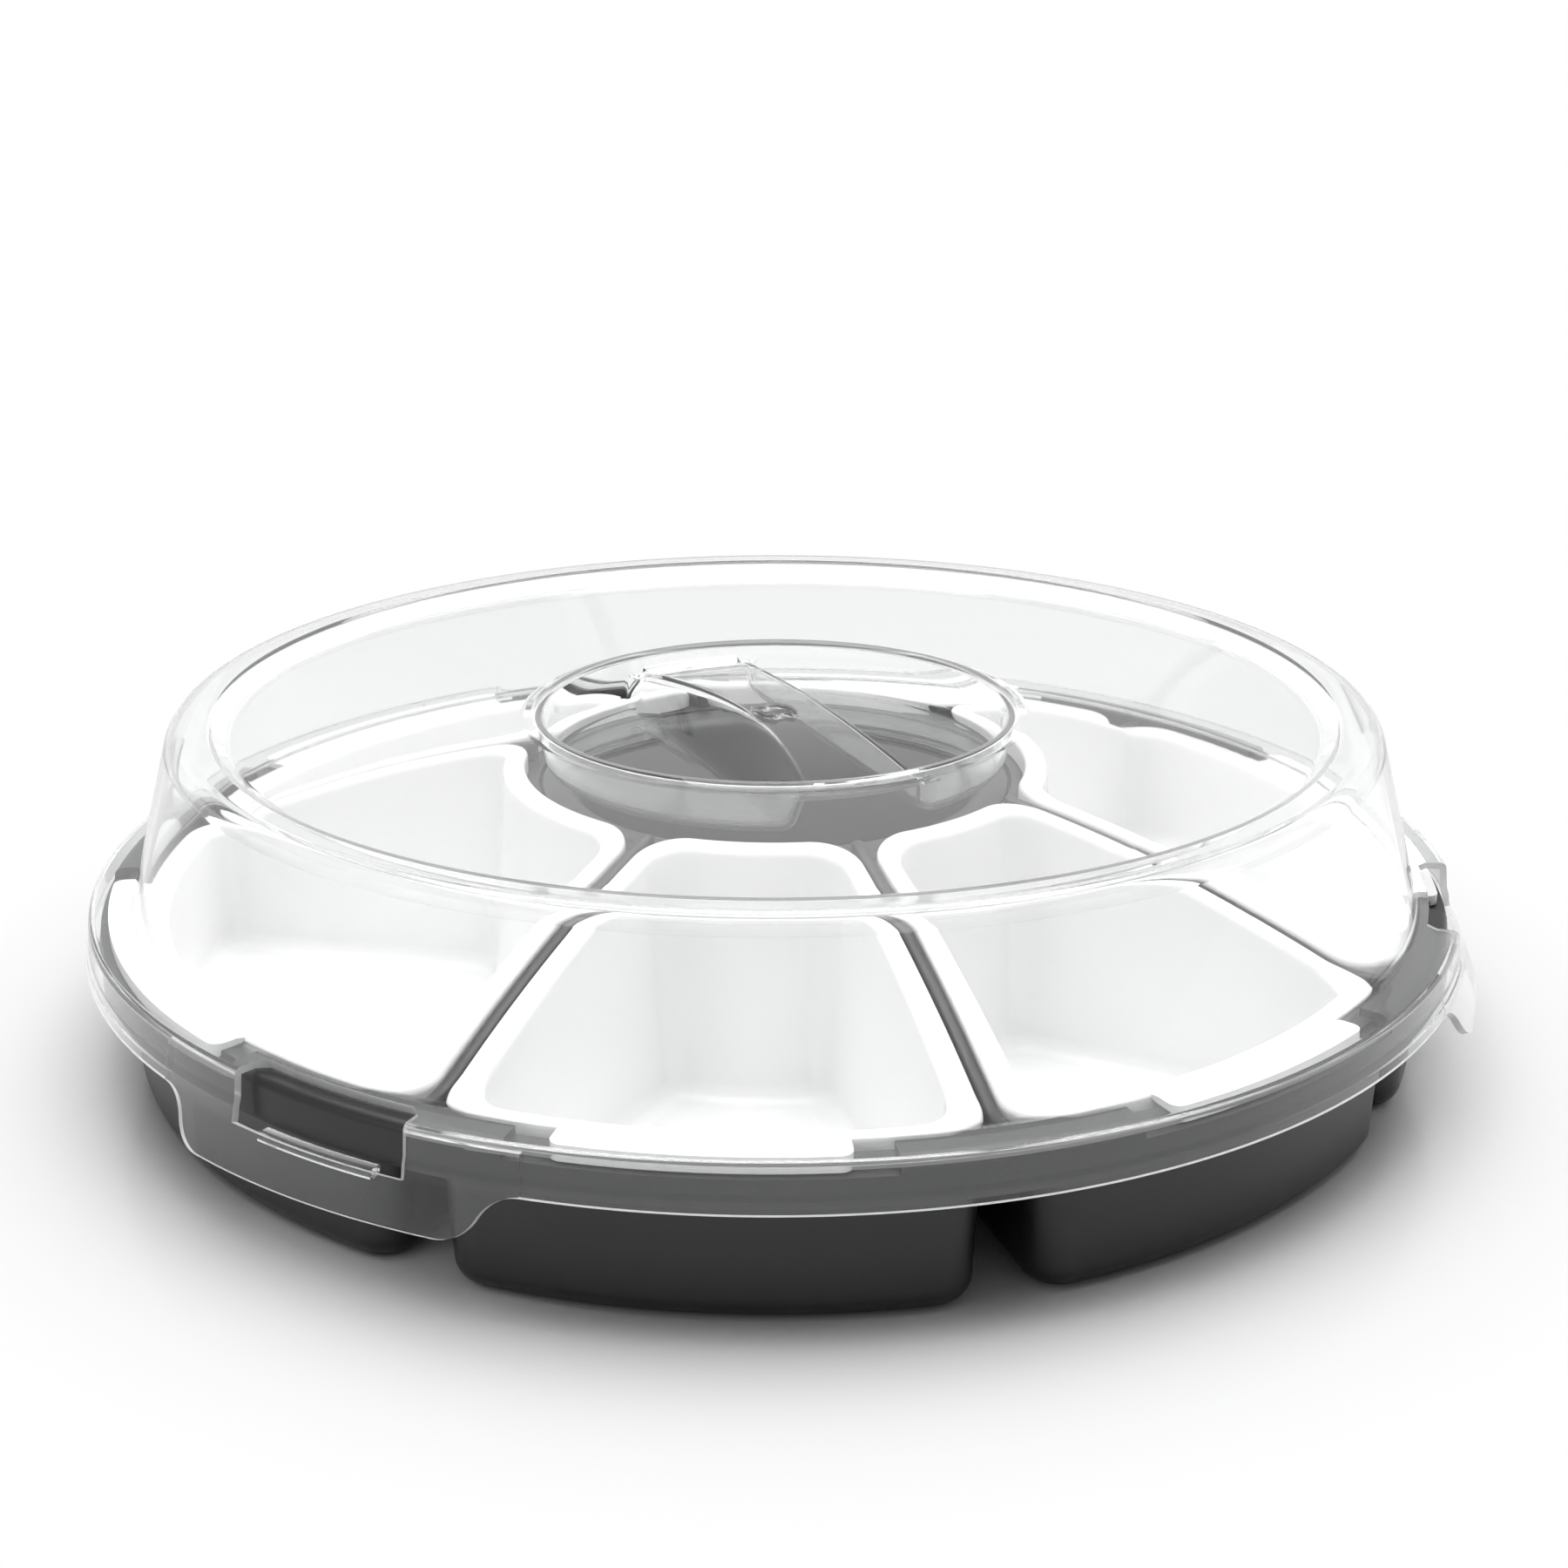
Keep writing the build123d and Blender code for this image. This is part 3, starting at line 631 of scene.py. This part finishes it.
skirt_line = rounded_path(
    [(seam_radius, seam_height), *skirt_bends, (186.1, tongue_level)], [1.2, 1.2, 5.0], 6)


def skirt_at(z):
    """Radius of the skirt's outer face at a height, read along its profile."""
    return np.interp(-z, -skirt_line[:, 1], skirt_line[:, 0])


# Columns across a tab, in degrees from its middle, with the window's edges among them and
# one more each side just past the tongue's flat foot. The outermost two stand a hair clear of
# the lid's skirt. A tab is three grids: the part under the sill's line, which rises towards
# the tab's sides, and the two posts over it.
steps = np.sort(np.concatenate([
    np.linspace(-latch_half_angle, latch_half_angle, 133),
    [-window_half_angle, window_half_angle, -10.9, 10.9]]))
steps[[0, -1]] *= 0.9995
slope = np.clip((np.abs(steps) - sill_flat_angle) / sill_slope_angle, 0, 1)
sill = sill_level + sill_rise * slope**2
foot = tongue_foot(skirt_radius * np.sin(np.radians(steps)))
down = np.linspace(0, 1, 30)[:, None]
under_sill = sill + (foot - sill) * down
over_sill = seam_height + (sill - seam_height) * down
tab_parts = (
    (under_sill, np.ones(len(steps), bool)),
    (over_sill, steps < -window_half_angle + 1e-6),
    (over_sill, steps > window_half_angle - 1e-6),
)
snap_bar_section = rounded_path(
    [(179.6, 31.4), (181.2, 31.4), (181.2, 28.9), (179.0, 28.9), (178.1, 30.4),
     (178.1, 31.4), (179.6, 31.4)], [0.5, 0.5, 0.5, 0.4, 0.4], 3)[:-1]

for side, azimuth in zip(("left", "right", "back"), latch_azimuths):
    tab_points, tab_faces, total = [], [], 0
    for heights, part in tab_parts:
        z = heights[:, part]
        angle = np.radians(steps[part] + azimuth + lid_turn)
        radius = skirt_at(z)
        points = np.stack([radius * np.sin(angle), -radius * np.cos(angle), z], -1)
        grid = vertex_grid(points, total)
        tab_points.append(points.reshape(-1, 3))
        tab_faces += strip_faces(grid).reshape(-1, 4)[:, ::-1].tolist()
        total += grid.size
    add_piece(f"pull_tab_{side}", np.concatenate(tab_points), tab_faces, clear,
              f"latch_tab_{side}", f"latch_{side}", lid_wall)
    swing = np.linspace(-snap_bar_half_angle, snap_bar_half_angle, 41) + azimuth + lid_turn
    swing = np.radians(swing)[:, None]
    bar_points = np.stack([snap_bar_section[:, 0] * np.sin(swing),
                           -snap_bar_section[:, 0] * np.cos(swing),
                           snap_bar_section[:, 1] + 0 * swing], -1)
    grid = vertex_grid(bar_points)
    bar_faces = strip_faces(grid, closed=True).reshape(-1, 4).tolist()
    bar_faces += [grid[0][::-1].tolist(), grid[-1].tolist()]
    add_piece(f"snap_bar_{side}", bar_points.reshape(-1, 3), bar_faces, clear,
              f"latch_tab_{side}", f"latch_{side}")

low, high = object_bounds()
